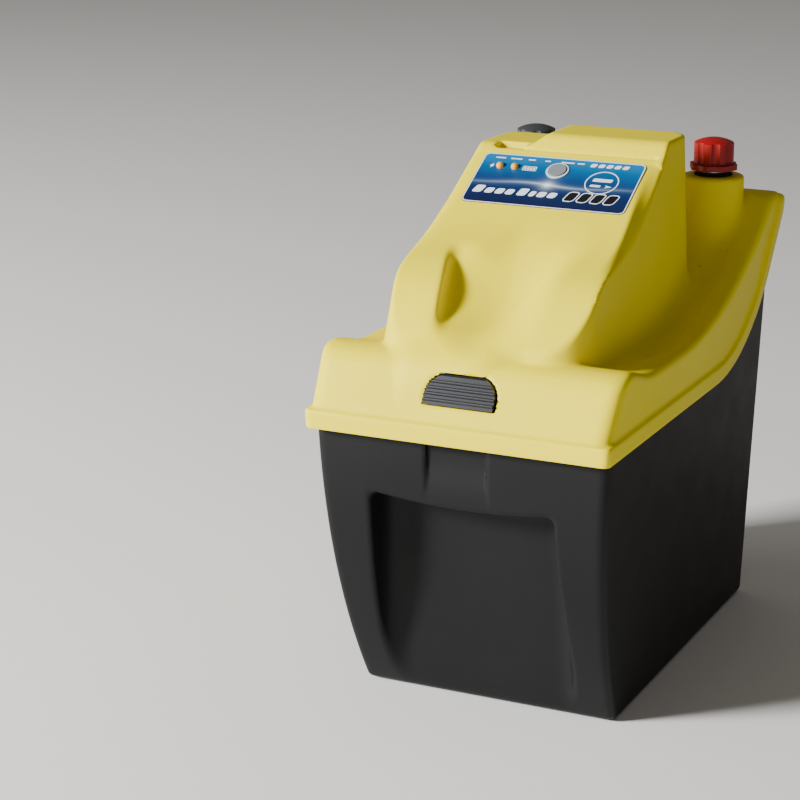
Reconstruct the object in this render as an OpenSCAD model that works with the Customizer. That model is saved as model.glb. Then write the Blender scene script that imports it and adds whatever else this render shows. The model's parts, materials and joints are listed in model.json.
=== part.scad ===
// Battery fence energizer: a tapered battery tub closed by a hinged lid.
// The lid carries the pulse electronics, a control panel and two clamp terminals.
// Millimetres, +Z up. X runs across, -Y is the latch side, Z = 0 is the resting face.

/* [Body] */
// overall depth, front lip to the rear edge of the lid
depth = 325; // [320:1:330]
// half width of the lid lip at its lower front edge
lip_half = 100; // [98:0.5:102]
// height of the straight part of the lid's lower edge
part_z = 185; // [183:1:187]
// outward lean of each side wall, mm per mm of height
draft = 0.0595; // [0.055:0.0005:0.062]
// tub wall thickness
tub_wall = 3; // [2.6:0.1:3.4]
// lid wall thickness
lid_wall = 2.6; // [2.4:0.1:3]
// side gap between lid lip and tub wall
lip_gap = 0.9; // [0.8:0.1:1.2]
// height of the tub rim inside the lip
rim_rise = 9; // [7:0.5:10]

/* [Tub front] */
// radius of the bowed front wall, seen from the side
bow_r = 368; // [366:1:370]
// depth position of the bow's centre
bow_y = 378; // [376:1:380]
// half width of the front recess
recess_half = 62; // [58:1:64]
// top of the front recess
recess_top = 147; // [140:1:150]
// half width of the finger channel under the latch
channel_half = 19.5; // [17:0.5:22]

/* [Hood] */
// slope of the control panel, degrees
panel_tilt = 29.5; // [29:0.1:30]
// half width of the hood at the panel
hood_half = 66; // [65:0.5:68]
// top of the raised bar behind the panel
bar_top = 345; // [343:0.5:347]
// depth position of the grip hollow's back edge
scoop_y = 86; // [84:0.5:88]
// height of the grip hollow's floor
scoop_z = 245; // [244:0.5:247]
// reach of the grip hollow to the left
scoop_left = 42; // [40:0.5:43]
// reach of the grip hollow to the right
scoop_right = 36; // [34:0.5:38]
// plan radius of the hood's broad front corner
corner_r = 34; // [30:0.5:36]

/* [Terminals] */
// distance of each terminal from the middle
term_x = 65; // [64:0.5:66]
// depth position of the terminals
term_y = 287; // [286:0.5:288]
// top of the terminal towers
tower_top = 309; // [308.5:0.5:310]
// tower radius
tower_r = 21; // [20:0.5:21.5]
// stud shaft radius
stud_r = 3; // [2.8:0.05:3.1]
// knob skirt radius
knob_r = 16.6; // [16:0.1:17]

/* [Latch] */
// half width of the latch button window
latch_half = 22.8; // [22:0.1:24]
// height of the latch window
latch_h = 16.5; // [15.5:0.5:17]
// lower edge of the latch window
latch_z = 208.5; // [208:0.5:209]

/* [Hinge] */
// depth position of the hinge axis
hinge_y = 313; // [312.8:0.1:313.2]
// height of the hinge axis
hinge_z = 247; // [246.8:0.1:247.2]
// hinge pin radius
pin_r = 2.5; // [2.4:0.05:2.6]

/* [Hidden] */
$fn = 64;

tub_half = lip_half - lid_wall - lip_gap;
rear_base = 323;
rear_lean = 0.0625;
arc_y = 205;
arc_r = 110;
arc_z = part_z + arc_r;
wing_top = 296;
flank_z = 226;
flank_r = 241.4;
floor_t = 4;
hood_wall = 3;
panel_y = 179.2;
panel_z = 331.8;
ridge_y = 184;
bar_y0 = 194;
bar_y1 = 237;
washer_t = 1.5;
collar_t = 2.5;
washer_z = tower_top + collar_t;
knob_z = washer_z + washer_t;
stud_top = knob_z + 11;
stud_foot = tower_top - 21;
nut_upper = tower_top - 11;
nut_lower = tower_top - 18;
ring_z = tower_top - 13;
plate_z = 219;
plate_t = 2.5;
hinge_x = 55;
run_gap = 0.06;
crown_r = 28;
lobe_h = 0.7;
main_z = plate_z + plate_t + 9;
latch_back = 24;
spring_y1 = 40;
barrel_r = 6;
barrel_half = 12;
ear_in = 12.4;
ear_out = 20;
label_y = 157.4;
label_w = 112;
label_d = 50;
label_t = 0.4;
button_x = -1.3;
button_y = 167.5;
button_r = 5.9;
button_gap = 0.3;
stem_end = -4.9;
led_r = 2.45;
led_x = [-41.6, -31.2];
led_y = 167.8;
boss_x = 61;
boss_y = [128, 214];
panel_boss_x = 48;
panel_boss_y = [136, 174];
board_hole_x = 40;
board_hole_y = [134, 206];
board_y = 170;
board_t = 1.6;
board_top = main_z + 2 + board_t;
panel_board_n = -12.6;
grommet_y = 72;
grommet_r = 6;
core_at = [20, 160];
core_w = 48;
core_d = 40;
core_h = 40;
cap_r = 15;
cap_h = 42;
lead_r = 1.5;
nut_af = 10;
insert_r = 5;
crown_h = 21.5;
flange_h = 3.6;
flute_r = 4.4;
nose_half = 10;
slot_half = 12.5;
rib_r = 1.05;
face_lean = 0.61;

// height of the panel surface at depth y
function panel_at(y) = panel_z + (y - panel_y) * tan(panel_tilt);
// rear wall position at height z
function rear_at(z) = rear_base - rear_lean * z;
// points of an arc in the side view, from angle a0 to a1 measured off straight down
function swoop(r, a0, a1, n) =
  [for (k = [0:n]) let (a = a0 + (a1 - a0) * k / n) [arc_y + r * sin(a), arc_z - r * cos(a)]];
function flank(i, n) =
  [for (k = [0:n]) let (y = 130 + 170 * k / n)
    [y, flank_z - i + flank_r - sqrt(flank_r * flank_r - (y - 130) * (y - 130))]];

// side-view shapes swept across, front-view shapes swept along the depth
module across(x0, x1) translate([x0, 0, 0]) rotate([90, 0, 90]) linear_extrude(x1 - x0) children();
module along(y0, y1) translate([0, y1, 0]) rotate([90, 0, 0]) linear_extrude(y1 - y0) children();
module home() translate([0, -depth / 2, 0]) children();
module on_panel(x, y, lift = 0) translate([x, y, panel_at(y)]) rotate([panel_tilt, 0, 0])
  translate([0, 0, lift]) children();
module rod_x(r, x0, x1) translate([x0, 0, 0]) rotate([0, 90, 0]) cylinder(r = r, h = x1 - x0);

// front-view trapezoid with half width h at the parting height
module wedge(h, z0, z1) polygon([
  [-h - draft * (z0 - part_z), z0], [h + draft * (z0 - part_z), z0],
  [h + draft * (z1 - part_z), z1], [-h - draft * (z1 - part_z), z1]]);

module rounded(w, d, r) union() {
  square([w, d - 2 * r], center = true);
  square([w - 2 * r, d], center = true);
  for (sx = [-1, 1], sy = [-1, 1]) translate([sx * (w / 2 - r), sy * (d / 2 - r)]) circle(r);
}

// ---------------------------------------------------------------- tub
module tub_side(i) intersection() {
  translate([bow_y, part_z]) circle(bow_r - i, $fn = 256);
  polygon(concat(
    [[5, i == 0 ? 0 : floor_t], [rear_base - i, i == 0 ? 0 : floor_t],
     [rear_at(246) - i, 246 + i], [296, 246 + i]],
    [for (p = swoop(arc_r - rim_rise, 62, 0, 10)) [p[0], p[1] + i]],
    [[5, part_z + rim_rise + i]]));
}
module tub_outer() intersection() {
  across(-120, 120) tub_side(0);
  along(0, 340) wedge(tub_half, 0, 260);
  translate([0, (9.5 + rear_base + 0.5) / 2, -1]) linear_extrude(270)
    rounded(2 * (tub_half + draft * 65), rear_base - 9, 12);
}
module tub_inner() intersection() {
  across(-120, 120) tub_side(tub_wall);
  along(0, 340) wedge(tub_half - tub_wall, floor_t, 270);
}
// recess in the bowed front wall: its floor stands nearly upright
module recess(g) across(-recess_half - g, recess_half + g)
  polygon([[0, 8 - g], [56 + g, 8 - g], [41 + g, recess_top + g], [0, recess_top + g]]);
module tub_ear(x0, x1) across(x0, x1) union() {
  translate([hinge_y, hinge_z]) circle(barrel_r);
  polygon([[rear_at(246) - 2, 222], [rear_at(222) - 1, 222], [hinge_y + 5.5, hinge_z - 2.4],
           [hinge_y - 2, hinge_z + 5.2], [rear_at(246) - 2, 246]]);
}
module battery_tub() color([0.16, 0.17, 0.18]) home() difference() {
  union() {
    difference() {
      tub_outer();
      difference() {
        tub_inner();
        recess(tub_wall);
        translate([-channel_half - 3, 0, 150]) cube([2 * channel_half + 6, 17, 34]);
      }
      recess(0);
      // shallow finger channel below the latch
      across(-channel_half, channel_half) polygon([[0, 141], [12, 141], [13.6, 150],
        [13.6, 176], [8, part_z - 1], [0, part_z - 1]]);
    }
    for (s = [-1, 1]) {
      tub_ear(s * hinge_x + ear_in, s * hinge_x + ear_out);
      tub_ear(s * hinge_x - ear_out, s * hinge_x - ear_in);
    }
  }
  // slot for the latch nose
  translate([-slot_half, 0, part_z + 0.4]) cube([2 * slot_half, 20, 5]);
  for (s = [-1, 1]) translate([0, hinge_y, hinge_z]) {
    rod_x(pin_r + 0.02, s * hinge_x - ear_out - 1, s * hinge_x + ear_out + 1);
    // room for the lid's barrels in the top of the rear wall
    rod_x(barrel_r + 0.4, s * hinge_x - ear_in, s * hinge_x + ear_in);
  }
}
module hinge_pins() color([0.7, 0.71, 0.73]) home() for (s = [-1, 1])
  translate([0, hinge_y, hinge_z]) rod_x(pin_r, s * hinge_x - ear_out - 0.5, s * hinge_x + ear_out + 0.5);

// ---------------------------------------------------------------- lid
module lid_side() polygon(concat(
  [[0, part_z], [0, part_z + 12], [2.5, part_z + 14], [22, 231], [30, 231.5], [60, 228]],
  flank(0, 12),
  [[312, wing_top], [321, 293], [depth, 287], [322.5, 280], [307.2, 252.5]],
  swoop(arc_r, 61, 0, 14)));
module lid_side_in() polygon(concat(
  [[lid_wall, part_z - 40], [lid_wall, part_z + 11.5], [5.2, part_z + 13.6], [24, 228], [60, 225]],
  flank(lid_wall + 0.4, 12),
  [[312, wing_top - 3], [318, 290], [321.6, 286], [319.6, 280.5], [304.2, 252.5], [300, 140]]));
module hood_side() polygon([[26, 222], [30, 230], [35, 242], [41, 256], [50, 267],
  [66, 276.5], [91, 285.5],
  [118, panel_at(118)], [ridge_y, panel_at(ridge_y)], [bar_y0, bar_top - 1], [bar_y0 + 2, bar_top],
  [bar_y1 - 3, bar_top], [bar_y1, bar_top - 3], [bar_y1 + 2, 248], [200, 230], [60, 222]]);
module hood_side_in() polygon([[36, 200], [36, 232], [40, 242], [45, 254], [53, 263.5],
  [68, 272.8], [92, 281.6],
  [119, panel_at(119) - 3.4], [ridge_y + 1.5, panel_at(ridge_y) - 2.6], [bar_y0 + 2, bar_top - 5],
  [bar_y1 - 5, bar_top - 3], [bar_y1 - 3, bar_top - 6], [bar_y1 - 1, 262], [bar_y1 - 1, 200]]);
// grip hollow under the panel: steep at the back, open to the front, narrower at its foot
module scoop(g) intersection() {
  across(-hood_half, hood_half) polygon([
    [10, scoop_z - 7 - g], [scoop_y + 0.8 * g, scoop_z + 10 - 0.9 * g],
    [scoop_y + 64 + 1.2 * g, 352], [10, 352]]);
  translate([0, 0, 200]) linear_extrude(160) polygon([
    [-scoop_left + 16 - g, 10], [-scoop_left - 6 - g, scoop_y], [-scoop_left - 15 - g, 125],
    [scoop_right + 14 + g, 125], [scoop_right + g, scoop_y], [-6 + g, 10]]);
}
module hood(i) intersection() {
  across(-90, 90) if (i == 0) hood_side(); else hood_side_in();
  along(0, 340) polygon([[-hood_half - 5 + i, 220 - 30], [hood_half + 5 - i, 220 - 30],
    [hood_half - 1 - i, 350], [-hood_half + 1 + i, 350]]);
  translate([0, 0, 180]) linear_extrude(180) hood_plan(i);
}
// seen from above, the front corner on the red terminal's side is broad
module hood_plan(i) {
  corner_x = hood_half + 7 - corner_r;
  difference() {
    translate([0, 130 - i]) rounded(2 * hood_half + 14 - 2 * i, 218, 16);
    translate([corner_x, 0]) square([corner_r + 10, 21 + corner_r]);
  }
  translate([corner_x, 21 + corner_r]) circle(corner_r - i);
}
// slanted bevel along both edges of the panel
module panel_bevel() for (s = [-1, 1]) on_panel(s * (hood_half + 1), ridge_y)
  rotate([90, 0, 0]) translate([0, 0, -1]) linear_extrude(75)
    polygon([[s * -9, 0], [s * -9, 30], [s * 12, 30], [s * 12, -9], [s * 2, -9], [s * 0, -6]]);
// window for the latch button: straight foot, rounded shoulders
module latch_shape(g) translate([0, latch_z]) intersection() {
  translate([-latch_half - g, -g]) square([2 * (latch_half + g), latch_h + 2 * g]);
  union() {
    translate([-latch_half - g, -g]) square([2 * (latch_half + g), latch_h - 9]);
    for (s = [-1, 1]) translate([s * (latch_half - 11), latch_h - 11]) circle(11 + g);
    translate([-latch_half + 11, -g]) square([2 * (latch_half - 11), latch_h + 2 * g]);
  }
}
module tower(r, z0, z1) for (s = [-1, 1]) translate([s * term_x, term_y, z0])
  cylinder(r = r, h = z1 - z0);
module lid_barrel() across(hinge_x - barrel_half, hinge_x + barrel_half) difference() {
  union() {
    translate([hinge_y, hinge_z]) circle(barrel_r);
    polygon([[hinge_y - 5, hinge_z + 3], [hinge_y + 5.2, hinge_z + 2.6],
      [319, 276], [312, 272], [307.6, 256]]);
  }
  translate([hinge_y, hinge_z]) circle(pin_r + run_gap);
}
module boss_cover() for (x = [-boss_x, boss_x], y = boss_y) translate([x, y, 0]) children();
module boss_panel()
  for (x = [-panel_boss_x, panel_boss_x], y = panel_boss_y) on_panel(x, y) children();
module lid_shell() color([0.93, 0.86, 0.36]) home() difference() {
  union() {
    difference() {
      union() {
        intersection() {
          across(-120, 120) lid_side();
          along(-1, 340) wedge(lip_half, 150, 300);
          translate([0, depth / 2, 150]) linear_extrude(160) rounded(2 * lip_half + 13.4, depth + 3, 12);
        }
        difference() {
          hood(0);
          scoop(0);
          panel_bevel();
        }
        tower(tower_r, 260, tower_top);
      }
      // inside of the rim and flanks
      intersection() {
        across(-120, 120) lid_side_in();
        along(-1, 340) wedge(lip_half - lid_wall, 100, 300);
      }
      // inside of the hood
      difference() {
        hood(hood_wall);
        scoop(hood_wall);
      }
      tower(tower_r - 3, 240, tower_top - 5);
      // gap at the left end of the raised bar
      translate([-hood_half - 4, 187, 332]) cube([hood_half - 28, 8, 20]);
      across(-90, -20) polygon([[186, 360], [186, bar_top - 0.5], [189, bar_top - 3],
        [250, bar_top - 3], [250, 360]]);
    }
    // web that closes the hood under the bar gap
    translate([-hood_half + 4, 184, 328]) cube([hood_half - 30, 14, 4]);
    for (s = [0, 1]) mirror([s, 0, 0]) lid_barrel();
    boss_cover() translate([0, 0, plate_z + plate_t]) cylinder(r = 5, h = 62);
    boss_panel() translate([0, 0, -11]) cylinder(r = 3.6, h = 10);
    // post that backs the latch spring
    across(-9, 9) polygon([[spring_y1, 205], [spring_y1 + 4, 205], [spring_y1 + 4, 243], [spring_y1, 242]]);
  }
  along(-5, 36) latch_shape(0.5);
  boss_cover() translate([0, 0, plate_z]) cylinder(r = 1.6, h = 16);
  boss_panel() translate([0, 0, -12]) cylinder(r = 1.1, h = 8);
  on_panel(button_x, button_y, -8) cylinder(r = button_r + button_gap, h = 12);
  for (x = led_x) on_panel(x, led_y, -8) cylinder(r = led_r + 0.15, h = 12);
  for (s = [-1, 1]) translate([s * term_x, term_y, stud_foot])
    cylinder(r = stud_r + 0.05, h = 40);
}

module label_panel() color([0.12, 0.42, 0.68]) home() difference() {
  on_panel(0, label_y) linear_extrude(label_t) rounded(label_w, label_d, 4);
  on_panel(button_x, button_y, -2) cylinder(r = button_r + button_gap, h = 4);
  for (x = led_x) on_panel(x, led_y, -2) cylinder(r = led_r + 0.15, h = 4);
}
module button_ring() color([0.75, 0.77, 0.8]) home() on_panel(button_x, button_y, label_t) difference() {
  cylinder(r = button_r + 1.7, h = 0.6);
  translate([0, 0, -1]) cylinder(r = button_r + button_gap, h = 3);
}
module power_button() color([0.55, 0.56, 0.58]) home() on_panel(button_x, button_y) {
  translate([0, 0, -2.6]) cylinder(r = button_r, h = 4.4);
  translate([0, 0, stem_end]) cylinder(r = 2, h = -stem_end - 2.5);
}
module led(x) home() on_panel(x, led_y) {
  translate([0, 0, -7]) cylinder(r = led_r, h = 8);
  translate([0, 0, 1]) intersection() {
    sphere(led_r);
    cylinder(r = led_r + 1, h = led_r + 1);
  }
}
module led_pulse() color([0.95, 0.66, 0.1]) led(led_x[0]);
module led_battery() color([0.95, 0.66, 0.1]) led(led_x[1]);
module panel_board() color([0.1, 0.35, 0.2]) home() on_panel(0, label_y, panel_board_n) difference() {
  linear_extrude(board_t) rounded(110, 54, 3);
  for (x = [-panel_boss_x, panel_boss_x], y = panel_boss_y)
    translate([x, (y - label_y) / cos(panel_tilt), -1]) cylinder(r = 1.3, h = 4);
  // two holes for the legs of each light
  for (x = led_x, leg = [-1.3, 1.3])
    translate([x + leg, (led_y - label_y) / cos(panel_tilt), -1]) cylinder(r = 0.5, h = 4);
}
module panel_board_screws() color([0.72, 0.73, 0.75]) home() boss_panel() {
  translate([0, 0, panel_board_n - 1.8]) cylinder(r = 2.3, h = 1.8);
  translate([0, 0, panel_board_n]) cylinder(r = 1.05, h = 8);
}
module power_switch() color([0.2, 0.2, 0.21]) home() on_panel(button_x, button_y) {
  translate([-4, -4, panel_board_n + board_t]) cube([8, 8, 4]);
  translate([0, 0, -7]) cylinder(r = 1.6, h = 0.4);
}

// plate that closes the electronics bay and steps up to the terminals
module cover_side(a, b) polygon([[52, a], [222, a], [290, a + 34], [302, a + 36],
  [302, b + 36], [289, b + 34], [221, b], [52, b]]);
module inner_cover() color([0.2, 0.21, 0.22]) home() difference() {
  union() {
    across(-72, 72) cover_side(plate_z, plate_z + plate_t);
    for (x = [-board_hole_x, board_hole_x], y = board_hole_y)
      translate([x, y, plate_z + 1]) cylinder(r = 3.5, h = main_z + 1 - plate_z);
  }
  boss_cover() translate([0, 0, plate_z - 1]) cylinder(r = 2.1, h = 6);
  for (x = [-board_hole_x, board_hole_x], y = board_hole_y)
    translate([x, y, plate_z + 3]) cylinder(r = 1.1, h = 12);
  translate([0, grommet_y, plate_z - 1]) cylinder(r = grommet_r + 0.05, h = 6);
}
module inner_cover_screws() color([0.72, 0.73, 0.75]) home() boss_cover() {
  translate([0, 0, plate_z - 2.4]) cylinder(r = 3.6, h = 2.4);
  translate([0, 0, plate_z]) cylinder(r = 1.55, h = 14);
}
module battery_lead_grommet() color([0.1, 0.1, 0.1]) home() translate([0, grommet_y, 0]) difference() {
  union() {
    translate([0, 0, plate_z - 2]) cylinder(r = grommet_r + 2, h = 2);
    translate([0, 0, plate_z]) cylinder(r = grommet_r, h = plate_t);
    translate([0, 0, plate_z + plate_t]) cylinder(r = grommet_r + 2, h = 2);
  }
  translate([0, 0, plate_z - 3]) cylinder(r = 3, h = 9);
}
module main_board() color([0.12, 0.4, 0.24]) home() translate([0, board_y, main_z + 2]) difference() {
  linear_extrude(board_t) rounded(92, 84, 3);
  for (x = [-board_hole_x, board_hole_x], y = board_hole_y)
    translate([x, y - board_y, -1]) cylinder(r = 1.5, h = 4);
}
module main_board_screws() color([0.72, 0.73, 0.75]) home()
  for (x = [-board_hole_x, board_hole_x], y = board_hole_y) {
  translate([x, y, board_top]) cylinder(r = 2.6, h = 1.8);
  translate([x, y, main_z - 4]) cylinder(r = 1.05, h = 7.6);
}
module transformer_core() color([0.3, 0.3, 0.32]) home()
  translate([core_at[0], core_at[1], board_top]) difference() {
  translate([-core_w / 2, -core_d / 2, 0]) cube([core_w, core_d, core_h]);
  for (x = [-12.5, 12.5]) translate([x - 5.5, -core_d / 2 - 1, 8]) cube([11, core_d + 2, 24]);
}
module transformer_coil() color([0.62, 0.36, 0.16]) home()
  translate([core_at[0], core_at[1], board_top + core_h / 2])
  difference() {
    cube([33.6, core_d + 14, 23], center = true);
    cube([14.6, core_d + 1, 30], center = true);
  }
module storage_capacitor() color([0.85, 0.83, 0.74]) home() translate([-27, 166, board_top]) {
  cylinder(r = cap_r, h = cap_h);
  for (x = [-8, 8]) translate([x, 0, cap_h]) cylinder(r = 2.4, h = 5);
}
module thyristor() color([0.13, 0.13, 0.14]) home() translate([-12, 200, board_top]) {
  cube([15, 4.5, 16]);
  translate([0, 3.2, 16]) cube([15, 1.3, 5]);
}
module board_terminals() color([0.15, 0.45, 0.22]) home() for (s = [-1, 1])
  translate([s * 28 - 5, 194, board_top]) difference() {
  cube([10, 12, 11]);
  translate([5, 6, 4]) cylinder(r = 2.2, h = 9);
  translate([5, 5, 4.5]) rotate([-90, 0, 0]) cylinder(r = 1.7, h = 9);
}
// one lead from the board block up over the cover step to the stud
module bend(a, b) translate(a) {
  v = b - a;
  len = norm(v);
  rotate([0, acos(v[2] / len), atan2(v[1], v[0])]) cylinder(r = lead_r, h = len, $fn = 20);
  sphere(lead_r + 0.15, $fn = 20);
}
module lead(s) {
  p = [[s * 28, 202, board_top + 4.5], [s * 28, 222, board_top + 5], [s * 50, 254, 246],
    [s * (term_x - 9), term_y - 3, 268], [s * (term_x - 9), term_y - 3, ring_z - 3],
    [s * (term_x - 7), term_y - 3, ring_z + 0.8]];
  for (k = [0:4]) bend(p[k], p[k + 1]);
  translate([s * term_x, term_y, ring_z]) difference() {
    cylinder(r = 6.5, h = 1.6);
    translate([0, 0, -1]) cylinder(r = stud_r + 0.15, h = 4);
  }
}
module output_leads() color([0.7, 0.1, 0.1]) home() {
  lead(-1);
  lead(1);
}

// ---------------------------------------------------------------- terminals
module hex_plate(af, h) linear_extrude(h) polygon([for (k = [0:5]) let (a = 60 * k + 30)
  [af / 2 / cos(30) * cos(a), af / 2 / cos(30) * sin(a)]]);
module at_term(s) home() translate([s * term_x, term_y, 0]) children();
module stud(s) at_term(s) {
  translate([0, 0, stud_foot]) cylinder(r = stud_r, h = stud_top - stud_foot);
}
module terminal_stud_red() color([0.78, 0.62, 0.3]) stud(1);
module terminal_stud_grey() color([0.78, 0.62, 0.3]) stud(-1);
module stud_nuts() color([0.78, 0.62, 0.3]) for (s = [-1, 1]) at_term(s)
  for (z = [nut_upper, nut_lower])
  translate([0, 0, z]) difference() {
    hex_plate(nut_af, z == nut_upper ? 5.9 : 4.9);
    translate([0, 0, -1]) cylinder(r = stud_r + 0.03, h = 9);
  }
module terminal_collars() color([0.1, 0.1, 0.11]) for (s = [-1, 1]) at_term(s) translate([0, 0, tower_top])
  difference() {
    union() {
      cylinder(r = 13, h = 1);
      cylinder(r = 11, h = collar_t);
    }
    translate([0, 0, -1]) cylinder(r = stud_r + 0.05, h = 5);
  }
module clamp_washer(s) at_term(s) translate([0, 0, washer_z]) difference() {
  cylinder(r = 10, h = washer_t);
  translate([0, 0, -1]) cylinder(r = stud_r + 0.08, h = 4);
}
module clamp_washer_red() color([0.75, 0.76, 0.78]) clamp_washer(1);
module clamp_washer_grey() color([0.75, 0.76, 0.78]) clamp_washer(-1);
// fluted knob with a lobed skirt and a domed crown
module knob(s) at_term(s) translate([0, 0, knob_z]) difference() {
  union() {
    rotate_extrude() polygon(concat([[0, 0], [knob_r - 3, 0]],
      [for (r = [knob_r - 3, 11.5, 9, 6, 3]) [r, crown_h - crown_r + sqrt(crown_r * crown_r - r * r)]],
      [[0, crown_h]]));
    linear_extrude(flange_h) polygon([for (a = [0:3.75:359]) let (r = knob_r - lobe_h * (1 - cos(8 * a)))
      [r * cos(a), r * sin(a)]]);
  }
  for (k = [0:7]) rotate(45 * k + 22.5) translate([knob_r, 0, flange_h + 0.8]) cylinder(r = flute_r, h = 20);
  translate([0, 0, -1]) cylinder(r = insert_r + 0.02, h = 13);
}
module knob_red() color([0.6, 0.02, 0.08]) knob(1);
module knob_grey() color([0.33, 0.35, 0.38]) knob(-1);
module knob_insert(s) at_term(s) translate([0, 0, knob_z]) difference() {
  cylinder(r = insert_r, h = 11.5);
  translate([0, 0, -1]) cylinder(r = stud_r + run_gap, h = 14);
}
module knob_insert_red() color([0.78, 0.62, 0.3]) knob_insert(1);
module knob_insert_grey() color([0.78, 0.62, 0.3]) knob_insert(-1);

// ---------------------------------------------------------------- latch
// ribbed face, leaning with the lid's front
module latch_face() polygon(concat(
  [for (k = [0:4]) for (q = [0, 1]) let (z = latch_z - 0.4 + (latch_h + 0.8) * (k + q * 0.72) / 5)
    [7.6 + (z - latch_z) * face_lean, z]],
  [[latch_back, latch_z + latch_h + 0.4], [latch_back, latch_z - 0.4]]));
module latch_rib() for (k = [0:3]) let (z = latch_z + 3 + k * 3.3)
  across(-latch_half, latch_half) translate([6.8 + (z - latch_z) * face_lean, z]) circle(rib_r);
module latch_button() color([0.3, 0.31, 0.33]) home() {
  intersection() {
    union() {
      across(-latch_half, latch_half) latch_face();
      latch_rib();
    }
    along(-5, 40) latch_shape(0);
  }
  // web down to the nose that hooks under the edge of the tub slot
  across(-nose_half, nose_half) polygon([[20.4, latch_z + 4], [latch_back, latch_z + 4],
    [latch_back, part_z + 1], [11.6, part_z + 1], [11.6, part_z + 2],
    [14, part_z + 4.4], [20.4, part_z + 4.4]]);
  translate([0, latch_back - 0.1, latch_z + 9]) rotate([-90, 0, 0]) cylinder(r = 2.2, h = 4);
}
module latch_spring() color([0.75, 0.76, 0.78]) home() translate([0, latch_back + 0.1, latch_z + 9]) {
  n = 6;
  step = (spring_y1 - latch_back - 1.3) / n;
  for (k = [0:n]) translate([0, k * step + 0.5, 0]) rotate([-90, 0, 0])
    rotate_extrude() translate([3.4, 0]) circle(0.45, $fn = 16);
}

battery_tub();
hinge_pins();
lid_shell();
label_panel();
button_ring();
led_pulse();
led_battery();
panel_board();
panel_board_screws();
power_switch();
inner_cover();
inner_cover_screws();
main_board();
main_board_screws();
transformer_core();
transformer_coil();
storage_capacitor();
thyristor();
board_terminals();
output_leads();
battery_lead_grommet();
terminal_stud_red();
terminal_stud_grey();
stud_nuts();
terminal_collars();
latch_spring();
latch_button();
power_button();
clamp_washer_red();
clamp_washer_grey();
knob_red();
knob_grey();
knob_insert_red();
knob_insert_grey();
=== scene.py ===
import json
from math import cos, hypot, pi, radians, sin, sqrt, tan

import bmesh
import bpy
import numpy as np
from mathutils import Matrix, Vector


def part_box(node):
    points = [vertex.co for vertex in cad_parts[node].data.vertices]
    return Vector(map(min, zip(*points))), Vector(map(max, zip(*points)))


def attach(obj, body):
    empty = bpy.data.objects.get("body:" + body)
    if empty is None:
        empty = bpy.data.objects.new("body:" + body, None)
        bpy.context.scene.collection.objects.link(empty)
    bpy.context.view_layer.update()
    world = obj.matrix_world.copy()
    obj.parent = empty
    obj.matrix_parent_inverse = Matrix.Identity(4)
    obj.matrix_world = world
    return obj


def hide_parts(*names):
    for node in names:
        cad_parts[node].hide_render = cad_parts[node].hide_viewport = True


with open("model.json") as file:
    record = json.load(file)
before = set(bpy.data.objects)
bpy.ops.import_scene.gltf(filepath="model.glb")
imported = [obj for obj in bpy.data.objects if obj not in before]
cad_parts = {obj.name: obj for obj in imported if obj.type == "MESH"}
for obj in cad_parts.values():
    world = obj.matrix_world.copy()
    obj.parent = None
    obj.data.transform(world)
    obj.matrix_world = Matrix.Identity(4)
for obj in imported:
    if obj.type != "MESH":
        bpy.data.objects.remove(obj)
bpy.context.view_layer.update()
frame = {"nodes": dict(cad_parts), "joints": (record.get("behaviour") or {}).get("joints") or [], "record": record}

# ------------------------------------------------------------ sizes, in millimetres
# Shapes are worked out with y measured from the lid's front lip, as in the CAD.
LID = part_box("lid_shell")
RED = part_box("terminal_stud_red")
DEPTH = (LID[1][1] - LID[0][1]) * 1000
Y_LIP = LID[0][1] * 1000
PART_Z = LID[0][2] * 1000
BAR_TOP = LID[1][2] * 1000
DRAFT = 0.0595

# lid lip, and the sweep of the parting edge at the back: centre, radius and end angle
LIP_HALF = 100.0
LIP_H = 12.5
LIP_ROUND = 5
SWOOP_Y, SWOOP_R = 205.0, 110.0
SWOOP_Z = PART_Z + SWOOP_R
SWOOP_TURN = radians(62)

# terminals
STUD_R = 3
TERM_X = RED[1][0] * 1000 - STUD_R
TERM_Y = (RED[0][1] + RED[1][1]) * 500 - Y_LIP
TOWER_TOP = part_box("terminal_collars")[0][2] * 1000
TOWER_R = 21.0

# hinge: axis, middle of each barrel, barrel and ears
HINGE = next(j for j in frame["joints"] if j["name"] == "lid_hinge")["pos_m"]
HINGE_Y = HINGE[1] * 1000 - Y_LIP
HINGE_Z = HINGE[2] * 1000
HINGE_X = 55.0
BARREL_R, BARREL_HALF = 6, 12
EAR_IN, EAR_OUT = 12.4, 20
PIN_BORE = 2.6

# control panel: slope, a point on it, and its upper edge
TILT = radians(29.5)
PANEL_Y, PANEL_Z = 179.2, 331.8
RIDGE_Y = 184.0
BAR_BACK = 237.0
BUTTON_X, BUTTON_Y = -1.3, 167.5
LED_X, LED_Y = (-41.6, -31.2), 167.8
LABEL_Y, LABEL_W, LABEL_D, LABEL_T = 157.4, 112.0, 50.0, 0.4

# tub: half width at the parting edge, bowed front's centre and radius, rear wall's foot and lean
TUB_HALF = LIP_HALF - 3.5
TUB_STEP = 0.9
BOW_Y, BOW_R = 378, 368
REAR_Y, REAR_LEAN = 323, 0.0625
TUB_WALL, FLOOR_T = 3, 4
RIM_RISE, REAR_RIM = 9, 246

# latch window, and the slot in the tub that the latch hooks under
LATCH_HALF, LATCH_H, LATCH_Z = 22.8, 16.5, 208.5
LATCH_GAP = 1.1
SLOT_HALF, SLOT_Z = 12.5, (185.4, 190.4)

# lid: wall, and the flank's height, start and radius in side view
WALL = 3.1
FLANK_Z, FLANK_Y, FLANK_R = 226, 130, 241.4
WING_TOP = 295.5


def panel_at(y):
    """Height of the flat control panel at depth y."""
    return PANEL_Z + (y - PANEL_Y) * tan(TILT)


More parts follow.
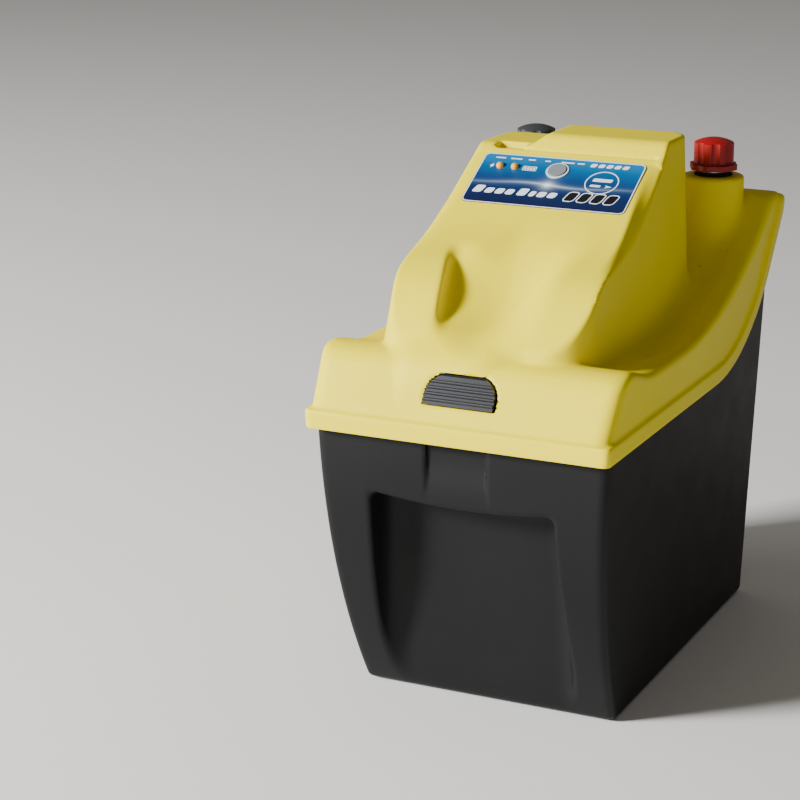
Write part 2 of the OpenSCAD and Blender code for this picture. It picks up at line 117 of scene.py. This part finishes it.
# ------------------------------------------------------------ distance fields
# Each returns roughly the distance in millimetres to a surface, negative inside the solid.
def smax(a, b, r):
    """The larger of two distances, with a round of about r where they meet."""
    h = np.clip(0.5 + 0.5 * (a - b) / r, 0, 1)
    return b + (a - b) * h + r * h * (1 - h)


def smin(a, b, r):
    return -smax(-a, -b, r)


def step(a, b, v):
    """Goes smoothly from 0 at a to 1 at b."""
    t = np.clip((v - a) / (b - a), 0, 1)
    return t * t * (3 - 2 * t)


def bell(v, centre, width):
    return np.exp(-((v - centre) / width) ** 2)


def above_part(y, z):
    """Distance above the parting edge: straight at the front, sweeping up at the back."""
    angle = np.arctan2(y - SWOOP_Y, SWOOP_Z - z)
    arc = SWOOP_R - np.hypot(y - SWOOP_Y, z - SWOOP_Z)
    line = SWOOP_R - (sin(SWOOP_TURN) * (y - SWOOP_Y) - cos(SWOOP_TURN) * (z - SWOOP_Z))
    return np.where(y < SWOOP_Y, z - PART_Z, np.where(angle > SWOOP_TURN, line, arc))


def side_wall(x, z, half):
    return np.abs(x) - half - DRAFT * (z - PART_Z)


def box_field(x, y, z, low, high):
    d = np.maximum(low[0] - x, x - high[0])
    d = np.maximum(d, np.maximum(low[1] - y, y - high[1]))
    return np.maximum(d, np.maximum(low[2] - z, z - high[2]))


def from_hinge(y, z):
    return np.hypot(y - HINGE_Y, z - HINGE_Z)


def from_stud(x, y):
    return np.hypot(np.abs(x) - TERM_X, y - TERM_Y)


def knuckle(x, y, z, x0, x1):
    """A hinge barrel between two places across the hinge."""
    return smax(from_hinge(y, z) - BARREL_R, np.maximum(x0 - x, x - x1), 0.8)


# ---- tub
def recess_field(x, y, z):
    """The hand-deep recess in the bowed front: widest at the top, fading at the foot."""
    half = 61 + 4 * step(150, 30, z)
    ceiling = 141.5 + 4.5 * (x / 60) ** 2
    opening = smax(np.abs(x) - half, z - ceiling, 7)
    floor = y - (56 - 0.108 * (z - 8))
    return smax(opening, floor, 16)


def channel_field(x, y, z):
    """The shallow finger channel between the latch and the recess."""
    depth = 13.2 - 2.6 * step(172, 146, z)
    return np.maximum(np.abs(x + 2) - 19.5, np.maximum(z - PART_Z + 2, y - depth))


def tub_body(x, y, z):
    """The tub's outer form. Its sides step in where the lid's lip covers them."""
    corner = 5 + 2 * np.clip(z / PART_Z, 0, 1.3)
    side = side_wall(x, z, TUB_HALF + TUB_STEP * step(1, -1, above_part(y, z)))
    front = np.hypot(y - BOW_Y, np.minimum(z, PART_Z) - PART_Z) - BOW_R
    rear = y - (REAR_Y - REAR_LEAN * z)
    d = smax(smax(side, front, corner), rear, corner)
    return smax(d, -z, 4)


def ear_field(x, y, z, x0, x1):
    """One of the tub's hinge ears: a knuckle with a slanted web down to the rear wall."""
    web = np.maximum(x0 - x, x - x1)
    web = np.maximum(web, 0.60 * (y - HINGE_Y) - 0.80 * (z - HINGE_Z) - 5.6)
    web = np.maximum(web, np.maximum(303.5 - y, z - HINGE_Z - 1))
    web = np.maximum(web, y - HINGE_Y - 1)
    return smin(knuckle(x, y, z, x0, x1), web, 1)


def tub_field(x, y, z):
    body = tub_body(x, y, z)
    dent = smin(recess_field(x, y, z), channel_field(x, y, z), 1)
    outer = smax(body, -dent, 3)
    inner = smax(body + TUB_WALL, -(dent - TUB_WALL), 3)
    shell = smax(outer, -smax(inner, FLOOR_T - z, 4), 0.6)
    shell = smax(shell, np.maximum(above_part(y, z) - RIM_RISE, z - REAR_RIM), 0.8)
    slot = box_field(x, y, z, (-SLOT_HALF, 0, SLOT_Z[0]), (SLOT_HALF, 20, SLOT_Z[1]))
    shell = np.maximum(shell, -slot)
    off_middle = np.abs(np.abs(x) - HINGE_X)
    turning = np.maximum(from_hinge(y, z) - BARREL_R - 0.5, off_middle - EAR_IN)
    shell = np.maximum(shell, -turning)
    for s in (-1, 1):
        for a, b in ((EAR_IN, EAR_OUT), (-EAR_OUT, -EAR_IN)):
            shell = smin(shell, ear_field(x, y, z, s * HINGE_X + a, s * HINGE_X + b), 0.8)
    bore = np.maximum(from_hinge(y, z) - PIN_BORE, off_middle - EAR_OUT - 1)
    return np.maximum(shell, -bore)


# ---- lid
def hood_plan(x, y, z):
    """The hood seen from above: broad front corners, tighter ones at the back."""
    half = 70 - 0.05 * (z - 235)
    foot = 23 + 9 * step(0, 34, x)
    front = foot + 0.3 * step(30, 0, x) * (z - 231)
    mid, reach = (front + BAR_BACK) / 2, (BAR_BACK - front) / 2
    r = np.where(y > FLANK_Y, 14, np.where(x > 0, 28, 37))
    qx = np.abs(x) - half + r
    qy = np.abs(y - mid) - reach + r
    return np.minimum(np.maximum(qx, qy), 0) + np.hypot(np.maximum(qx, 0), np.maximum(qy, 0)) - r


def thumb_scoop(x, y, z):
    """The grip hollow under the panel: steep at the back and left, open to the front."""
    near_wall = step(5, -34, x)
    run, rise = 21, 32
    back = ((y - 85 + 7 * near_wall) * rise - (z - 262) * run) / hypot(rise, run)
    floor = -(z - 245 - 3 * near_wall - 0.22 * (y - 36)) * 0.97
    left = -(x + 31 + 0.25 * (y - 50)) * 0.95
    right = (x - 22 - 0.15 * (y - 36)) * 0.8
    d = smax(back, floor, 26)
    d = smax(d, right, 22)
    return smax(d, left, 8)


def hood_top(x, y, z):
    """Top of the hood in side view: chin, swelling panel, and the riser up to the bar."""
    swell = 8 * bell(y, 66, 32)
    panel = (z - panel_at(y) - swell) * cos(TILT)
    lean = radians(60)
    middle = 4 * step(-60, -30, x) * step(34, 8, x)
    chin = -(y - 41 + middle) * sin(lean) + (z - 257) * cos(lean)
    top = smax(panel, chin, 15)
    slope = 1.04
    riser = (z - panel_at(RIDGE_Y) - (y - RIDGE_Y) * slope) / sqrt(1 + slope ** 2)
    top = smin(top, smax(riser, 178 - y, 1), 1)
    lower_left = 7.5 * step(-17, -31, x)
    return smax(top, z - BAR_TOP + 0.2 + lower_left, 3.5), panel


def hood_field(x, y, z):
    top, panel = hood_top(x, y, z)
    d = smax(top, -thumb_scoop(x, y, z), 4 + 10 * step(-30, 0, x))
    wall = hood_plan(x, y, z)
    drop = (2 + 6.5 * step(-10, 10, x)) * step(60, 150, y) * step(210, 125, y) + 0.01
    width = 4 + 4 * step(110, 175, y)
    bevel = (drop * (wall + width) + width * panel) / np.hypot(drop, width)
    bevel = bevel - 60 * step(RIDGE_Y - 4, RIDGE_Y + 8, y)
    d = smax(d, wall, 2.2)
    d = smax(d, bevel, 1.4)
    groove = np.hypot(y - RIDGE_Y - 1.4, z - panel_at(RIDGE_Y) - 0.9) - 1.3
    groove = np.maximum(groove, np.abs(x - 4) - 56)
    d = smax(d, -groove, 0.8)
    notch = box_field(x, y, z, (-53, 187, 333), (-33, 196, 400))
    return smax(d, -notch, 2)


def lip_field(x, y, z):
    """The band round the lid's lower edge."""
    back = y - DEPTH + 0.3
    lip = smax(smax(side_wall(x, z, LIP_HALF), 0.3 - y, LIP_ROUND), back, LIP_ROUND)
    lip = smax(lip, above_part(y, z) - LIP_H, 2.2)
    return smax(lip, z - WING_TOP + 2, LIP_ROUND)


def skirt_field(x, y, z):
    """The lid above its lip: leaning front, flanks that climb to the back, side valleys."""
    run = np.maximum(y - FLANK_Y, 0)
    height = FLANK_Z + FLANK_R - np.sqrt(np.maximum(FLANK_R ** 2 - run ** 2, 1))
    height = height + 9 * bell(y, 36, 24)
    slope = np.clip(run / FLANK_R, 0, 0.75)
    top = (z - height) * np.sqrt(1 - slope ** 2)
    top = smax(top, z - WING_TOP, 5)
    lean = radians(59.9)
    front = -(y - 2.6) * sin(lean) + (z - PART_Z - LIP_H) * cos(lean)
    skirt = smax(smax(side_wall(x, z, LIP_HALF) + 2, front, 10), top, 7)
    skirt = smax(skirt, y - DEPTH + 1.8, 5)
    valley = (z - height + 7 * bell(np.abs(x), 77, 9) * step(90, FLANK_Y, y)) * 0.98
    skirt = smax(skirt, valley, 3)
    return np.maximum(skirt, LIP_H - 2 - above_part(y, z))


def lid_solid(x, y, z):
    """The lid's outer form, before it is hollowed and cut along the parting edge."""
    middle = step(-60, -36, x) * step(34, 8, x) * step(60, 30, y)
    blend = 3 + 12 * step(70, 150, y) + 7 * middle
    d = smin(skirt_field(x, y, z), hood_field(x, y, z), blend)
    tower = smax(from_stud(x, y) - TOWER_R, z - TOWER_TOP, 2.5)
    tower = np.maximum(tower, 240 - z)
    d = smin(d, tower, 7)
    return smin(d, lip_field(x, y, z), 1.2)


def latch_window(x, z):
    """The latch button's opening: straight foot, rounded shoulders."""
    half = LATCH_HALF + LATCH_GAP
    low, high = LATCH_Z - LATCH_GAP, LATCH_Z + LATCH_H + LATCH_GAP
    flat = np.maximum(np.abs(x) - half, low - z)
    return smax(flat, z - high, 15)


def lid_field(x, y, z):
    outer = lid_solid(x, y, z)
    shell = smax(outer, -(outer + WALL), 0.5)
    shell = smax(shell, -above_part(y, z), 1.6)
    shell = np.maximum(shell, -np.maximum(latch_window(x, z), y - 36))
    v = (y - PANEL_Y) * cos(TILT) + (z - PANEL_Z) * sin(TILT)
    n = -(y - PANEL_Y) * sin(TILT) + (z - PANEL_Z) * cos(TILT)
    holes = ((BUTTON_X, BUTTON_Y, 6.3), (LED_X[0], LED_Y, 2.7), (LED_X[1], LED_Y, 2.7))
    for hole_x, hole_y, r in holes:
        hole = np.hypot(x - hole_x, v - (hole_y - PANEL_Y) / cos(TILT)) - r
        shell = np.maximum(shell, -np.maximum(hole, np.abs(n) - 12))
    off_middle = np.abs(np.abs(x) - HINGE_X) - BARREL_HALF
    barrel = knuckle(np.abs(x), y, z, HINGE_X - BARREL_HALF, HINGE_X + BARREL_HALF)
    web = np.maximum(off_middle, np.abs(y - HINGE_Y - 0.18 * (z - HINGE_Z)) - 4.5)
    web = np.maximum(web, np.maximum(HINGE_Z + 2 - z, z - 276))
    shell = smin(shell, smin(barrel, web, 1.5), 1)
    bore = np.maximum(from_hinge(y, z) - PIN_BORE, off_middle - 2)
    shell = np.maximum(shell, -bore)
    stud_hole = np.maximum(from_stud(x, y) - STUD_R - 0.2, 290 - z)
    return np.maximum(shell, -stud_hole)


# ------------------------------------------------------------ meshing
PITCH = 1.5
CELL = [np.array((i, j, k)) for i in (0, 1) for j in (0, 1) for k in (0, 1)]


def mesh_from_field(name, field, low, high):
    """A smooth closed mesh of the surface where field is zero, between two corners in mm.

    Each grid cell that the surface crosses gets one point, and each crossed edge one face.
    """
    axes = [np.arange(a, b + PITCH, PITCH) for a, b in zip(low, high)]
    values = np.empty(tuple(len(a) for a in axes), np.float32)
    yy, zz = np.meshgrid(axes[1], axes[2], indexing="ij")
    for i, x in enumerate(axes[0]):
        values[i] = field(np.full_like(yy, x), yy, zz)
    inside = values < 0
    cell = np.zeros(tuple(n - 1 for n in values.shape), bool)
    full = np.ones(cell.shape, bool)
    window = (slice(0, -1), slice(1, None))
    for a in CELL:
        part = inside[window[a[0]], window[a[1]], window[a[2]]]
        cell |= part
        full &= part
    cell &= ~full
    where = np.argwhere(cell)
    index = -np.ones(cell.shape, np.int64)
    index[tuple(where.T)] = np.arange(len(where))
    total = np.zeros((len(where), 3))
    count = np.zeros(len(where))
    for a in CELL:
        for axis in range(3):
            if a[axis]:
                continue
            b = a.copy()
            b[axis] = 1
            va = values[tuple((where + a).T)].astype(float)
            vb = values[tuple((where + b).T)].astype(float)
            cross = (va < 0) != (vb < 0)
            t = np.where(cross, va / np.where(cross, va - vb, 1), 0)
            point = where + a + t[:, None] * (b - a)
            total[cross] += point[cross]
            count += cross
    points = total / count[:, None] * PITCH + np.array([a[0] for a in axes])
    faces = []
    for axis in range(3):
        u, v = (axis + 1) % 3, (axis + 2) % 3
        lo = [slice(None)] * 3
        hi = [slice(None)] * 3
        lo[axis], hi[axis] = slice(0, -1), slice(1, None)
        flips = inside[tuple(lo)] != inside[tuple(hi)]
        edge = np.argwhere(flips)
        edge = edge[(edge[:, u] > 0) & (edge[:, v] > 0)]
        edge = edge[(edge[:, u] < cell.shape[u]) & (edge[:, v] < cell.shape[v])]
        ring = []
        for du, dv in ((-1, -1), (0, -1), (0, 0), (-1, 0)):
            c = edge.copy()
            c[:, u] += du
            c[:, v] += dv
            ring.append(index[tuple(c.T)])
        quad = np.stack(ring, 1)
        out = inside[tuple(edge.T)]
        faces.append(np.where(out[:, None], quad, quad[:, ::-1]))
    faces = np.vstack(faces)
    for _ in range(3):
        points = settle(points, field)
    points[:, 1] += Y_LIP
    mesh = bpy.data.meshes.new(name)
    mesh.vertices.add(len(points))
    mesh.vertices.foreach_set("co", (points / 1000).astype(np.float32).ravel())
    mesh.loops.add(faces.size)
    mesh.loops.foreach_set("vertex_index", faces.ravel().astype(np.int32))
    mesh.polygons.add(len(faces))
    mesh.polygons.foreach_set("loop_start", np.arange(0, faces.size, 4, dtype=np.int32))
    mesh.update(calc_edges=True)
    mesh.validate()
    mesh.polygons.foreach_set("use_smooth", np.ones(len(mesh.polygons), bool))
    mesh.set_sharp_from_angle(angle=radians(38))
    piece = bpy.data.objects.new(name, mesh)
    bpy.context.collection.objects.link(piece)
    return piece


def settle(points, field):
    """Moves points onto the surface along the field's slope, by less than half a cell."""
    h = 0.05
    x, y, z = points.T
    value = field(x, y, z)
    grad = np.stack([
        field(x + h, y, z) - field(x - h, y, z),
        field(x, y + h, z) - field(x, y - h, z),
        field(x, y, z + h) - field(x, y, z - h)], 1) / (2 * h)
    length = np.maximum((grad ** 2).sum(1), 0.2)
    move = -value[:, None] * grad / length[:, None]
    size = np.sqrt((move ** 2).sum(1))
    move *= (np.minimum(size, PITCH * 0.4) / np.maximum(size, 1e-9))[:, None]
    return points + move


lid = mesh_from_field("lid_moulding", lid_field, (-110, -3.2, 180), (110, DEPTH + 3, BAR_TOP + 3))
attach(lid, "lid")
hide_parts("lid_shell")
tub = mesh_from_field("tub_moulding", tub_field, (-104, 4, -3), (104, DEPTH + 1, 258))
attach(tub, "tub")
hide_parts("battery_tub")


# ------------------------------------------------------------ materials
def material(name, colour, rough, metal=0.0):
    mat = bpy.data.materials.new(name)
    mat.use_nodes = True
    nodes, links = mat.node_tree.nodes, mat.node_tree.links
    shader = nodes["Principled BSDF"]
    shader.inputs["Base Color"].default_value = (*colour, 1)
    shader.inputs["Roughness"].default_value = rough
    shader.inputs["Metallic"].default_value = metal
    return mat, nodes, links, shader


def noise(nodes, links, scale, detail=3.0):
    place = nodes.new("ShaderNodeTexCoord")
    tex = nodes.new("ShaderNodeTexNoise")
    tex.inputs["Scale"].default_value = scale
    tex.inputs["Detail"].default_value = detail
    links.new(place.outputs["Object"], tex.inputs["Vector"])
    return tex


def ramp(nodes, links, value, stops):
    node = nodes.new("ShaderNodeValToRGB")
    while len(node.color_ramp.elements) < len(stops):
        node.color_ramp.elements.new(0.5)
    for element, (at, colour) in zip(node.color_ramp.elements, stops):
        element.position = at
        element.color = (*colour, 1)
    links.new(value, node.inputs[0])
    return node.outputs["Color"]


def vary(nodes, links, value, low, high):
    """A number that wanders between low and high as value goes from 0 to 1."""
    node = nodes.new("ShaderNodeMapRange")
    node.inputs["To Min"].default_value = low
    node.inputs["To Max"].default_value = high
    links.new(value, node.inputs["Value"])
    return node.outputs["Result"]


def relief(nodes, links, shader, grain, scale, detail=3.0):
    """Fine surface grain, 0.2 mm deep at full strength."""
    bump = nodes.new("ShaderNodeBump")
    bump.inputs["Strength"].default_value = grain
    bump.inputs["Distance"].default_value = 0.0002
    links.new(noise(nodes, links, scale, detail).outputs["Fac"], bump.inputs["Height"])
    links.new(bump.outputs["Normal"], shader.inputs["Normal"])


def plastic(name, colour, rough, shade=0.06, grain=0.25, grain_scale=1400.0, gloss_level=0.45):
    """Moulded plastic: fine grain, faint flow marks in its colour, and uneven gloss."""
    mat, nodes, links, shader = material(name, colour, rough)
    dark = tuple(c * (1 - shade) for c in colour)
    light = tuple(min(1, c * (1 + shade)) for c in colour)
    cloud = noise(nodes, links, 14.0, 4.0)
    tint = ramp(nodes, links, cloud.outputs["Fac"], ((0.3, dark), (0.7, light)))
    links.new(tint, shader.inputs["Base Color"])
    gloss = noise(nodes, links, 45.0, 5.0).outputs["Fac"]
    links.new(vary(nodes, links, gloss, rough - 0.07, rough + 0.07), shader.inputs["Roughness"])
    relief(nodes, links, shader, grain, grain_scale, 2.0)
    shader.inputs["Specular IOR Level"].default_value = gloss_level
    return mat


def metal(name, colour, rough):
    """Machined or plated metal: handled in places, slightly mottled."""
    mat, nodes, links, shader = material(name, colour, rough, 1.0)
    scratch = noise(nodes, links, 220.0, 6.0).outputs["Fac"]
    links.new(vary(nodes, links, scratch, rough * 0.7, rough * 1.5), shader.inputs["Roughness"])
    tint = ramp(nodes, links, noise(nodes, links, 60.0).outputs["Fac"],
                ((0.3, tuple(c * 0.82 for c in colour)), (0.7, colour)))
    links.new(tint, shader.inputs["Base Color"])
    return mat


LOOKS = {
    "tub_plastic": plastic("tub_plastic", (0.006, 0.0065, 0.0072), 0.52, 0.12, 0.35, 1100, 0.2),
    "lid_plastic": plastic("lid_plastic", (0.9, 0.76, 0.0), 0.45, 0.03, 0.18, 1500, 0.15),
    "ring_plastic": plastic("ring_plastic", (0.62, 0.68, 0.74), 0.3, 0.04, 0.1),
    "black_plastic": plastic("black_plastic", (0.02, 0.02, 0.022), 0.5, 0.15, 0.3),
    "capacitor_case": plastic("capacitor_case", (0.6, 0.56, 0.42), 0.4),
    "green_plastic": plastic("green_plastic", (0.02, 0.22, 0.07), 0.4),
    "lead_sheath": plastic("lead_sheath", (0.4, 0.02, 0.02), 0.4),
    "rubber": plastic("rubber", (0.015, 0.015, 0.016), 0.75, 0.2, 0.5, 900),
    "latch_plastic": plastic("latch_plastic", (0.026, 0.028, 0.034), 0.4, 0.2, 0.25, 900, 0.25),
    "button_plastic": plastic("button_plastic", (0.2, 0.22, 0.24), 0.4),
    "red_plastic": plastic("red_plastic", (0.3, 0.0, 0.002), 0.45, 0.1, 0.2),
    "grey_plastic": plastic("grey_plastic", (0.035, 0.04, 0.046), 0.4, 0.1, 0.2),
    "core_steel": plastic("core_steel", (0.1, 0.1, 0.11), 0.45, 0.2, 0.4, 700),
    "coil_wire": plastic("coil_wire", (0.35, 0.12, 0.03), 0.35, 0.25, 0.5, 500),
    "circuit_board": plastic("circuit_board", (0.02, 0.16, 0.06), 0.3, 0.2, 0.1),
    "led_amber": plastic("led_amber", (0.95, 0.42, 0.02), 0.2, 0.1, 0.02),
    "steel": metal("steel", (0.62, 0.63, 0.65), 0.3),
    "brass": metal("brass", (0.72, 0.5, 0.2), 0.28),
}


def label_film():
    """Printed film: cyan at the top to indigo at the foot, with a star burst and a light streak."""
    mat, nodes, links, shader = material("label_film", (0.01, 0.2, 0.5), 0.22)
    place = nodes.new("ShaderNodeTexCoord")
    flat = nodes.new("ShaderNodeMapping")
    flat.vector_type = "TEXTURE"
    middle = (0, (LABEL_Y + Y_LIP) / 1000, panel_at(LABEL_Y) / 1000)
    flat.inputs["Location"].default_value = middle
    flat.inputs["Rotation"].default_value = (TILT, 0, 0)
    links.new(place.outputs["Object"], flat.inputs["Vector"])
    parts = nodes.new("ShaderNodeSeparateXYZ")
    links.new(flat.outputs["Vector"], parts.inputs["Vector"])

    def calc(kind, a, b=0.0, c=0.0):
        node = nodes.new("ShaderNodeMath")
        node.operation = kind
        for socket, value in zip(node.inputs, (a, b, c)):
            if isinstance(value, (int, float)):
                socket.default_value = value
            else:
                links.new(value, socket)
        return node.outputs[0]

    across, up = parts.outputs["X"], parts.outputs["Y"]
    height = calc("MULTIPLY_ADD", up, 1000 / LABEL_D, 0.5)
    mottle = noise(nodes, links, 60.0, 4.0).outputs["Fac"]
    height = calc("ADD", height, calc("MULTIPLY_ADD", mottle, 0.16, -0.08))
    sky = ramp(nodes, links, height, (
        (0.0, (0.002, 0.006, 0.04)), (0.28, (0.0, 0.014, 0.08)), (0.55, (0.0, 0.04, 0.16)),
        (1.0, (0.0, 0.17, 0.4))))
    dx = calc("ADD", across, 0.0032)
    dy = calc("ADD", up, 0.003)
    reach = calc("POWER", calc("ADD", calc("MULTIPLY", dx, dx), calc("MULTIPLY", dy, dy)), 0.5)
    star = calc("EXPONENT", calc("MULTIPLY", reach, -420.0))
    wave = calc("MULTIPLY", calc("SINE", calc("MULTIPLY", across, 90.0)), 0.0012)
    off = calc("ABSOLUTE", calc("ADD", dy, wave))
    fade = calc("EXPONENT", calc("MULTIPLY", calc("ABSOLUTE", dx), -28.0))
    thin = calc("EXPONENT", calc("MULTIPLY", off, -900.0))
    streak = calc("MULTIPLY", thin, calc("MULTIPLY", fade, 0.6))
    light = calc("MINIMUM", calc("ADD", star, streak), 1.0)
    mix = nodes.new("ShaderNodeMix")
    mix.data_type = "RGBA"
    mix.inputs["B"].default_value = (0.75, 0.9, 1.0, 1)
    links.new(light, mix.inputs["Factor"])
    links.new(sky, mix.inputs["A"])
    links.new(mix.outputs["Result"], shader.inputs["Base Color"])
    links.new(vary(nodes, links, mottle, 0.34, 0.5), shader.inputs["Roughness"])
    relief(nodes, links, shader, 0.05, 900.0)
    return mat


LOOKS["label_film"] = label_film()
LOOKS["label_white"] = plastic("label_white", (0.82, 0.87, 0.92), 0.3, 0.05, 0.05)
LOOKS["label_black"] = plastic("label_black", (0.006, 0.007, 0.01), 0.3, 0.2, 0.05)


def paint(obj, mat):
    obj.data.materials.clear()
    obj.data.materials.append(mat)


# ------------------------------------------------------------ print on the label
def rounded_outline(w, h, r, steps=6):
    """Corner-rounded rectangle about the origin, counter-clockwise."""
    points = []
    for k, (sx, sy) in enumerate(((1, 1), (-1, 1), (-1, -1), (1, -1))):
        for n in range(steps + 1):
            a = (k + n / steps) * pi / 2
            points.append((sx * (w / 2 - r) + r * cos(a), sy * (h / 2 - r) + r * sin(a)))
    return points


def circle_outline(r, steps=48):
    return [(r * cos(2 * pi * n / steps), r * sin(2 * pi * n / steps)) for n in range(steps)]


def placed(points, x, v, slant=0.0):
    return [(px + x + slant * pv, pv + v) for px, pv in points]


class Print:
    """Collects flat ink shapes in label coordinates: x across, v up the panel, in mm."""

    INK = 0.06

    def __init__(self, name):
        self.name = name
        self.mesh = bmesh.new()

    def point(self, x, v, raised):
        n = LABEL_T + (self.INK if raised else 0.0)
        y = LABEL_Y + v * cos(TILT) - n * sin(TILT)
        z = panel_at(LABEL_Y) + v * sin(TILT) + n * cos(TILT)
        return self.mesh.verts.new((x / 1000, (y + Y_LIP) / 1000, z / 1000))

    def solid(self, points):
        low = [self.point(x, v, False) for x, v in points]
        high = [self.point(x, v, True) for x, v in points]
        self.mesh.faces.new(high)
        self.mesh.faces.new(low[::-1])
        for k in range(len(points)):
            j = (k + 1) % len(points)
            self.mesh.faces.new((low[k], low[j], high[j], high[k]))

    def ring(self, outer, inner):
        rows = [[self.point(x, v, up) for x, v in line]
                for line, up in ((outer, False), (outer, True), (inner, True), (inner, False))]
        for a, b in zip(rows, rows[1:] + rows[:1]):
            for k in range(len(outer)):
                j = (k + 1) % len(outer)
                self.mesh.faces.new((a[k], a[j], b[j], b[k]))

    def finish(self, look):
        data = bpy.data.meshes.new(self.name)
        bmesh.ops.recalc_face_normals(self.mesh, faces=self.mesh.faces)
        self.mesh.to_mesh(data)
        self.mesh.free()
        piece = bpy.data.objects.new(self.name, data)
        bpy.context.collection.objects.link(piece)
        paint(piece, LOOKS[look])
        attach(piece, "lid")
        return piece


def label_print():
    """Generic blocks and icons where the real label has its wording."""
    white = Print("label_print_white")

    # border line
    white.ring(rounded_outline(LABEL_W - 0.6, LABEL_D - 0.6, 3.8),
               rounded_outline(LABEL_W - 2.0, LABEL_D - 2.0, 3.2))

    # round badge with two bars and an arrow head
    badge = (31.8, 3.6)
    white.ring(placed(circle_outline(11.2), *badge), placed(circle_outline(10.5), *badge))
    for x, v, w, h in ((31.8, 6.0, 13, 3.0), (28.5, 0.2, 7, 1.9)):
        white.solid(placed(rounded_outline(w, h, 0.7), x, v, 0.2))
    white.solid(placed([(-2, -1.3), (2.6, 0), (-2, 1.3), (-0.9, 0)], 37, 0.2))

    # five slanted blocks at the top right
    for k in range(5):
        white.solid(placed(rounded_outline(4, 3.4, 1.1), 21 + 5.5 * k, 20.0, 0.3))

    # two words of slanted blocks, the first block of each taller
    for x, w in ((-47.5, 6.4), (-16.8, 6.2)):
        white.solid(placed(rounded_outline(w, 7.0, 1.6), x, -11.6, 0.3))
    for x, w in ((-39.8, 5.6), (-32.6, 5.6), (-25.6, 5.4), (-10, 4), (-3.6, 5.6), (3.6, 5.6)):
        white.solid(placed(rounded_outline(w, 5.2, 1.6), x, -12.5, 0.3))

    # small captions over the lamps and the button
    for x, w in ((-44, 7), (-33, 8), (-22, 5), (-11, 4), (3, 9), (12, 5)):
        white.solid(placed(rounded_outline(w, 1.1, 0.4), x, 20.6))

    # lightning bolt and battery
    bolt = [(-0.4, -2.6), (1.6, 0.5), (0.3, 0.5), (0.9, 2.6), (-1.5, -0.4), (-0.2, -0.4)]
    white.solid(placed(bolt, -47.4, 12.2))
    battery = (-20.8, 11.9)
    white.ring(placed(rounded_outline(9.6, 4.2, 0.6), *battery),
               placed(rounded_outline(8.6, 3.2, 0.3), *battery))
    for k in range(4):
        white.solid(placed(rounded_outline(1.4, 2.2, 0.2), -23.8 + 2 * k, 11.9))
    white.finish("label_white")

    # four large black blocks with white edges
    black = Print("label_print_black")
    edge = Print("label_print_edge")
    for x in (16.5, 25.5, 34.5, 43.5):
        at = (x, -12.2, 0.3)
        black.solid(placed(rounded_outline(6.4, 8.6, 2.0), *at))
        edge.ring(placed(rounded_outline(7.8, 10.0, 2.6), *at),
                  placed(rounded_outline(6.5, 8.7, 2.05), *at))
    black.finish("label_black")
    edge.finish("label_white")


label_print()
paint(lid, LOOKS["lid_plastic"])
paint(tub, LOOKS["tub_plastic"])
for entry in frame["record"]["subparts"]:
    node = frame["nodes"][entry["node"]]
    for holder in node.material_slots:
        holder.material = LOOKS[entry["material_slot"]]


# ------------------------------------------------------------ floor, light, camera
def floor():
    """A pale sheet, set just under the tub's foot so that the two don't share a plane."""
    bpy.ops.mesh.primitive_grid_add(
        x_subdivisions=8, y_subdivisions=8, size=8, location=(0, 0, -0.0006))
    ground = bpy.context.object
    ground.name = "floor"
    paint(ground, material("pale_floor", (0.93, 0.93, 0.93), 0.9)[0])


def area_light(name, place, aim, size, power, colour=(1, 1, 1)):
    data = bpy.data.lights.new(name, "AREA")
    data.shape = "RECTANGLE"
    data.size, data.size_y = size
    data.energy = power
    data.color = colour
    lamp = bpy.data.objects.new(name, data)
    lamp.location = place
    lamp.rotation_euler = (Vector(aim) - Vector(place)).to_track_quat("-Z", "Y").to_euler()
    bpy.context.collection.objects.link(lamp)


floor()
world = bpy.data.worlds.new("studio")
world.use_nodes = True
background = world.node_tree.nodes["Background"]
background.inputs["Color"].default_value = (1, 0.93, 0.86, 1)
background.inputs["Strength"].default_value = 0.16
bpy.context.scene.world = world
area_light("key", (-2.3, -2.6, 1.6), (0, 0, 0.15), (0.8, 0.8), 330, (1, 0.985, 0.95))
area_light("low_fill", (-2.2, -1.2, 0.7), (0, 0, 0.2), (1.2, 0.8), 14)

# the photograph's viewing angle: turn and tilt, and place in metres from the lid's front lip
CAM_AZ, CAM_EL = radians(25.49), radians(15.98)
CAM_FROM_LIP = (0.5424, -1.2091, 0.5948)
data = bpy.data.cameras.new("camera")
data.lens = 104.2
data.sensor_width = 36.0
camera = bpy.data.objects.new("camera", data)
camera.location = (CAM_FROM_LIP[0], CAM_FROM_LIP[1] + Y_LIP / 1000, CAM_FROM_LIP[2])
camera.rotation_euler = (pi / 2 - CAM_EL, 0, CAM_AZ)
bpy.context.collection.objects.link(camera)
bpy.context.scene.camera = camera
